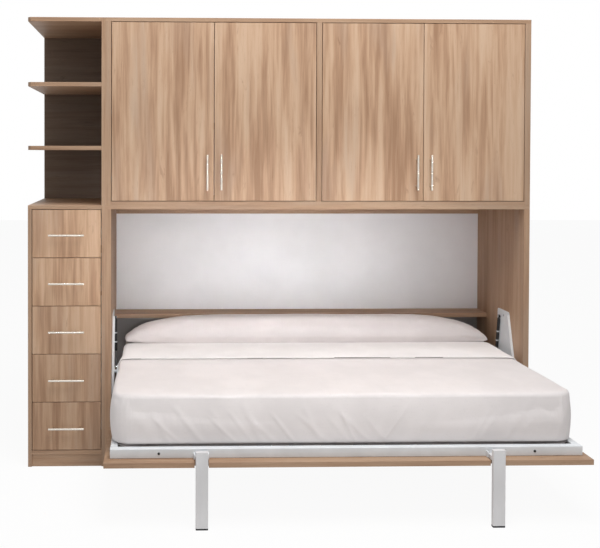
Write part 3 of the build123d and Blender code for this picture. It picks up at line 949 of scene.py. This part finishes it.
@dataclass
class TurnedSheet:
    """The band of the upper sheet that is turned down below the pillow, over the mattress and its sides."""

    hang: float = 0.085
    clearance: float = 0.002
    thickness: float = 0.0048
    rows: int = 16
    side_steps: int = 8
    turn_steps: int = 7
    top_step: float = 0.03
    wave: float = 0.0096
    forward: float = 0.036
    cover: float = 0.0105
    flat: tuple = (0.0, 0.0)

    def build(self, bed: bpy.types.Object) -> bpy.types.Object:
        """Lay the band on the mattress.

        Args:
            bed: The mattress under it.

        Returns:
            The piece.
        """
        bed_low, bed_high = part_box("mattress")
        bed_low.x -= self.cover
        bed_high.x += self.cover
        low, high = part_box("sheet_fold")
        low.y -= self.forward
        surface = BVHTree.FromPolygons(
            [vertex.co for vertex in bed.data.vertices], [tuple(face.vertices) for face in bed.data.polygons]
        )
        route = self._route(bed_low, bed_high)
        mesh = bmesh.new()
        bmesh.ops.create_grid(mesh, x_segments=len(route) - 1, y_segments=self.rows, size=0.5)
        for vertex in mesh.verts:
            across = round((vertex.co.x + 0.5) * (len(route) - 1))
            along = vertex.co.y + 0.5
            place, direction = route[across]
            edge = 1.0 - along
            y = low.y + (high.y - low.y) * along + edge * self._drift(place.x)
            start = Vector((place.x, y, place.z))
            hit, _, _, _ = surface.ray_cast(start, direction)
            unevenness = noise.noise(Vector((place.x * 6.0, y * 8.0, place.z * 6.0)))
            lift = self.clearance + 0.0012 * (1.0 + unevenness)
            vertex.co = (hit if hit is not None else start) - direction * lift
        cloth = ClothFinish("turned_sheet_cotton", srgb(252, 248, 247)).build()
        piece = placed("turned_down_sheet", mesh, cloth, "bed")
        self._measure(piece, len(route))
        self._thicken(piece)
        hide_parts("sheet_fold")
        log.info("made %s, %.2f m across", piece.name, self.flat[0])
        return piece

    def _drift(self, x: float) -> float:
        """How far the turned edge strays from a straight line at one place."""
        return self.wave * noise.noise(Vector((x * 1.7, 3.0, 0.0)))

    def _measure(self, piece: bpy.types.Object, across: int) -> None:
        """Note the size that the sheet was cut to.

        Args:
            piece: The sheet before it gets its thickness.
            across: How many points a row has.
        """
        points = [vertex.co for vertex in piece.data.vertices]
        middle = len(points) // across // 2 * across
        row = points[middle:middle + across]
        width = sum((a - b).length for a, b in zip(row, row[1:]))
        column = points[across // 2::across]
        depth = sum((a - b).length for a, b in zip(column, column[1:]))
        self.flat = (round(width, 3), round(depth, 3))

    def _route(self, low: Vector, high: Vector) -> list:
        """Starting points and directions of the rays that find the mattress, from left to right.

        Args:
            low: The mattress's lowest corner.
            high: Its highest corner.

        Returns:
            Pairs of a point and a direction.
        """
        out = 0.06
        corner = 0.05
        side = []
        for number in range(self.side_steps + 1):
            z = high.z - corner - self.hang + self.hang * number / self.side_steps
            side.append((Vector((low.x - out, 0.0, z)), Vector((1.0, 0.0, 0.0))))
        for number in range(1, self.turn_steps):
            angle = math.pi / 2 * number / self.turn_steps
            direction = Vector((math.cos(angle), 0.0, -math.sin(angle)))
            hub = Vector((low.x + corner, 0.0, high.z - corner))
            side.append((hub - direction * 0.11, direction))
        count = int((high.x - low.x - 2 * corner) / self.top_step)
        top = []
        for number in range(count + 1):
            x = low.x + corner + (high.x - low.x - 2 * corner) * number / count
            top.append((Vector((x, 0.0, high.z + out)), Vector((0.0, 0.0, -1.0))))
        middle = (low.x + high.x) / 2
        mirrored = [
            (Vector((2 * middle - place.x, place.y, place.z)), Vector((-way.x, way.y, way.z)))
            for place, way in reversed(side)
        ]
        return side + top + mirrored

    def _thicken(self, piece: bpy.types.Object) -> None:
        """Fold the sheet double, round its edge and paint a shadow line on the front of its hem."""
        if sum(face.normal.z for face in piece.data.polygons) < 0:
            piece.data.flip_normals()
        solid = piece.modifiers.new("double", "SOLIDIFY")
        solid.thickness = self.thickness
        solid.offset = 1.0
        softened(piece)
        # The front faces of the fold get a dark cloth: a painted shadow line along the hem.
        piece.data.materials.append(ClothFinish("painted_shadow_hem_line", srgb(126, 116, 113)).build())
        for face in piece.data.polygons:
            if face.normal.y < -0.55 and abs(face.normal.x) < 0.5:
                face.material_index = 1


@dataclass
class Pillow:
    """The long pillow: filled out by a cloth simulation, creased towards its drawn-in ends."""

    voxel: float = 0.013
    start_share: float = 0.93
    pressure: float = 3.0
    frames: int = 16
    caps: tuple = (0.012, 0.012, 0.012)
    longer: float = 0.025
    deeper: float = 0.033
    lower: float = 0.0033
    rest_gap: float = 0.0025

    def build(self) -> bpy.types.Object:
        """Make the pillow.

        Returns:
            The piece.
        """
        low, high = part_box("pillow")
        low = Vector((low.x - self.longer, low.y - self.deeper, low.z))
        high = Vector((high.x + self.longer, high.y, high.z - self.lower))
        cloth = ClothFinish("pillow_cotton", srgb(230, 223, 222)).build()
        piece = placed("long_pillow", self._blank(low, high), cloth, "bed")
        remesh = piece.modifiers.new("even", "REMESH")
        remesh.mode = "VOXEL"
        remesh.voxel_size = self.voxel
        applied(piece)
        inflate(piece, self.pressure, self.frames, self.caps)
        self._settle(piece, low, high)
        softened(piece)
        self._crease(piece, low, high)
        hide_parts("pillow")
        log.info("made %s with %d faces", piece.name, len(piece.data.polygons))
        return piece

    def _blank(self, low: Vector, high: Vector) -> bmesh.types.BMesh:
        """A long cushion, flat below, whose ends are drawn in.

        Args:
            low: The lowest corner of its space.
            high: The highest corner.

        Returns:
            The mesh.
        """
        mesh = bmesh.new()
        middle = (low + high) / 2
        half = (high - low) / 2
        bmesh.ops.create_cone(mesh, cap_ends=True, segments=32, radius1=1.0, radius2=1.0, depth=2.0)
        bmesh.ops.rotate(mesh, cent=(0, 0, 0), matrix=Matrix.Rotation(math.pi / 2, 3, "Y"), verts=mesh.verts)
        cut_evenly(mesh, 0, 0.04)
        for vertex in mesh.verts:
            share, y, z = vertex.co
            taper = (1.0 - min(1.0, abs(share)) ** 6) ** 0.6
            wide = half.y * self.start_share * (0.62 + 0.38 * taper)
            tall = half.z * self.start_share * max(0.17, taper)
            angle = math.atan2(z, y)
            y = math.copysign(abs(math.cos(angle)) ** 0.85, math.cos(angle))
            z = math.copysign(abs(math.sin(angle)) ** 0.85, math.sin(angle))
            rise = tall * (z if z > 0 else z * 0.92) + tall + (half.z * 2 - tall * 2) * 0.03
            vertex.co = Vector((middle.x + share * half.x * 0.985, middle.y + y * wide, low.z + rise))
        return mesh

    def _settle(self, piece: bpy.types.Object, low: Vector, high: Vector) -> None:
        """Flatten the underside on the mattress and keep the pillow in its space.

        Args:
            piece: The pillow.
            low: The lowest corner of its space.
            high: The highest corner.
        """
        floor = low.z + self.rest_gap
        for vertex in piece.data.vertices:
            place = vertex.co
            if place.z < floor:
                place.z = floor - (floor - place.z) * 0.08
            place.z = min(place.z, high.z)
            place.y = min(max(place.y, low.y - 0.004), high.y + 0.0005)

    def _crease(self, piece: bpy.types.Object, low: Vector, high: Vector) -> None:
        """Draw small pleats from the ends and a slow unevenness along the pillow.

        Args:
            piece: The pillow.
            low: The lowest corner of its space.
            high: The highest corner.
        """
        middle = (low + high) / 2
        half = (high - low) / 2
        normals = [vertex.normal.copy() for vertex in piece.data.vertices]
        for vertex, normal in zip(piece.data.vertices, normals):
            place = vertex.co
            share = abs(place.x - middle.x) / half.x
            near_end = max(0.0, (share - 0.78) / 0.22)
            angle = math.atan2(place.z - middle.z, place.y - middle.y)
            pleat = math.cos(angle * 8.0 + 2.0 * math.sin(place.x * 5.0)) * near_end * (1.0 - near_end) * 4.0
            slow = noise.noise(Vector((place.x * 3.1, place.y * 7.0, place.z * 7.0)))
            lines = noise.noise(Vector((place.x * 14.0, place.y * 5.0, place.z * 16.0)))
            if place.z > low.z + 0.008:
                place += normal * (0.0026 * pleat + 0.0026 * slow + 0.001 * lines - 0.001)


@dataclass
class Studio:
    """Floor, lamps and the camera at the photograph's viewing angle."""

    image_width: int = 600
    floor_glow: float = 0.94
    sky_light: float = 0.3
    sensor: float = 36.0
    focal_pixels: float = 808.2
    stand_x: float = -0.796
    stand_y: float = -3.881
    stand_height: float = 1.519
    yaw: float = 1.37
    pitch: float = -0.9
    roll: float = -0.11
    shift_x: float = 0.211
    shift_y: float = -0.183

    def build(self) -> None:
        """Make the floor, the light and the camera."""
        self._floor()
        self._lamps()
        self._camera()
        bpy.context.scene.view_settings.view_transform = "Standard"
        log.info("made the studio")

    def _floor(self) -> None:
        """Lay a plain pale floor."""
        mesh = bmesh.new()
        bmesh.ops.create_grid(mesh, x_segments=2, y_segments=2, size=14.0)
        data = bpy.data.meshes.new("floor")
        mesh.to_mesh(data)
        mesh.free()
        floor = bpy.data.objects.new("floor", data)
        bpy.context.scene.collection.objects.link(floor)
        recipe = Recipe("floor_paint")
        matt = recipe.output("ShaderNodeBsdfDiffuse", {}, {"Color": (0.92, 0.92, 0.92, 1.0)})
        glow = recipe.output("ShaderNodeEmission", {}, {"Color": WHITE, "Strength": 1.0})
        factor = self._looked_at(recipe) * self.floor_glow
        shader = recipe.output("ShaderNodeMixShader", {}, {0: factor, 1: matt, 2: glow})
        recipe.add("ShaderNodeOutputMaterial", {}, {"Surface": shader})
        data.materials.append(recipe.material)

    def _lamps(self) -> None:
        """Hang a lamp in front, one over the bed and one that reaches into the niche, under an even sky."""
        self._lamp("key", (-1.0, -3.3, 2.8), (0.1, 0.3, 1.0), (2.4, 2.4), 9.0, 180.0)
        self._lamp("top", (0.2, -1.5, 4.4), (0.1, -0.4, 0.3), (2.2, 2.2), 132.0, 180.0)
        self._lamp("fill", (0.0, -5.2, 1.5), (0.0, 0.56, 0.88), (1.5, 0.3), 2.2, 16.0)
        recipe = Recipe("sky", sky=True)
        plain = recipe.output("ShaderNodeBackground", {}, {"Color": WHITE, "Strength": self.sky_light})
        bright = recipe.output("ShaderNodeBackground", {}, {"Color": WHITE, "Strength": 1.0})
        shader = recipe.output("ShaderNodeMixShader", {}, {0: self._looked_at(recipe), 1: plain, 2: bright})
        recipe.add("ShaderNodeOutputWorld", {}, {"Surface": shader})
        bpy.context.scene.world = recipe.material

    @staticmethod
    def _looked_at(recipe: Recipe) -> Value:
        """1 where the camera or a reflection looks at the floor or sky, and 0 where it only gives light."""
        seen = recipe.output("ShaderNodeLightPath", {}, {}, "Is Camera Ray")
        glossy = recipe.output("ShaderNodeLightPath", {}, {}, "Is Glossy Ray")
        return seen + glossy

    @staticmethod
    def _lamp(name: str, place: tuple, target: tuple, size: tuple, power: float, spread: float) -> None:
        """Hang one flat lamp.

        Args:
            name: Its name.
            place: Where it hangs.
            target: What it points at.
            size: Its width and height, in metres.
            power: Its power, in watts.
            spread: The angle that its light fills, in degrees.
        """
        data = bpy.data.lights.new(name, "AREA")
        data.shape = "RECTANGLE"
        data.size, data.size_y = size
        data.energy = power
        data.spread = math.radians(spread)
        lamp = bpy.data.objects.new(name, data)
        bpy.context.scene.collection.objects.link(lamp)
        lamp.location = place
        way = Vector(target) - Vector(place)
        lamp.rotation_mode = "QUATERNION"
        lamp.rotation_quaternion = way.to_track_quat("-Z", "Y")

    def _camera(self) -> None:
        """Set the camera up where the photograph was taken from."""
        data = bpy.data.cameras.new("camera")
        data.sensor_fit = "HORIZONTAL"
        data.sensor_width = self.sensor
        data.lens = self.focal_pixels * self.sensor / self.image_width
        data.shift_x = self.shift_x
        data.shift_y = self.shift_y
        data.clip_end = 60.0
        camera = bpy.data.objects.new("camera", data)
        bpy.context.scene.collection.objects.link(camera)
        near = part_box("cabinet_side_left")[0]
        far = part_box("cabinet_side_right")[1]
        front = Vector(((near.x + far.x) / 2, near.y, 0.0))
        camera.location = front + Vector((self.stand_x, self.stand_y, self.stand_height))
        turn = Euler((math.radians(90.0 + self.pitch), 0.0, math.radians(-self.yaw)), "XYZ").to_matrix()
        spin = Euler((0.0, 0.0, math.radians(-self.roll)), "XYZ").to_matrix()
        camera.rotation_mode = "QUATERNION"
        camera.rotation_quaternion = (turn @ spin).to_quaternion()
        bpy.context.scene.camera = camera


def main() -> None:
    """Build the whole bed and its studio."""
    logging.basicConfig(level=logging.INFO, format="%(name)s: %(message)s")
    boards = Cabinetry()
    boards.dress_boards()
    boards.dress_fronts()
    boards.dress_plain_boards()
    boards.dress_fittings()
    steel = BedFrame()
    steel.dress_steel()
    steel.make_hole_shade_discs()
    steel.make_slat_holders()
    steel.make_strut_bands()
    steel.make_bracket_screws()
    TurnedSheet().build(Mattress().build())
    Pillow().build()
    Studio().build()


if __name__ == "__main__":
    main()
